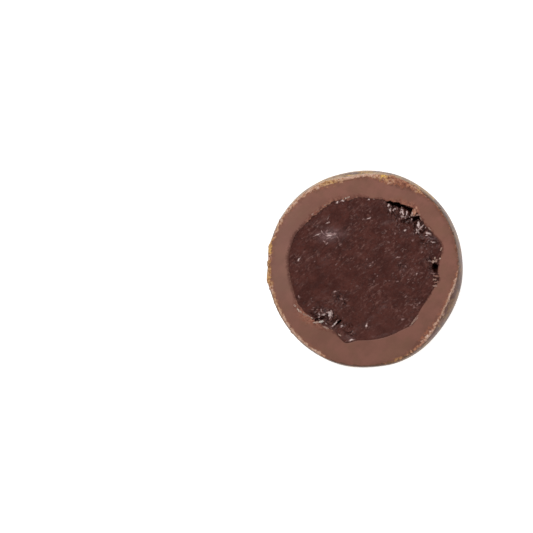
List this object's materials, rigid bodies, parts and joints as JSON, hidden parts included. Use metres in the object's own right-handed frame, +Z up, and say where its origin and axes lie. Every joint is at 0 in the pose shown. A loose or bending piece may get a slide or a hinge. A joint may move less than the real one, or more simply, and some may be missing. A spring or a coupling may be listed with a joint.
{
  "type": "halved filled chocolate",
  "caption": "Round filled chocolate cut across above its middle: a thick milk chocolate shell, gilded outside, solid with dark ganache, lying cut face up.",
  "frame": {"origin": "middle of the small flat under the round base, at the lowest point", "axes": "+Z up, square to the cut face; +X to the right and +Y away as the cut face is seen in the picture"},
  "size_m": [0.0278, 0.028, 0.0175],
  "materials": {
    "milk_chocolate": "satin milk chocolate where cut, glossy and mottled with gold lustre outside",
    "dark_ganache": "moist dark ganache, cut by a knife, torn and glossy at its edge",
    "gold_lustre": "edible gold lustre powder under a thin glaze, crumbling at the cut edge"
  },
  "bodies": {
    "root": {"chocolate_shell": "milk_chocolate", "ganache_filling": "dark_ganache"}
  },
  "joints": []
}
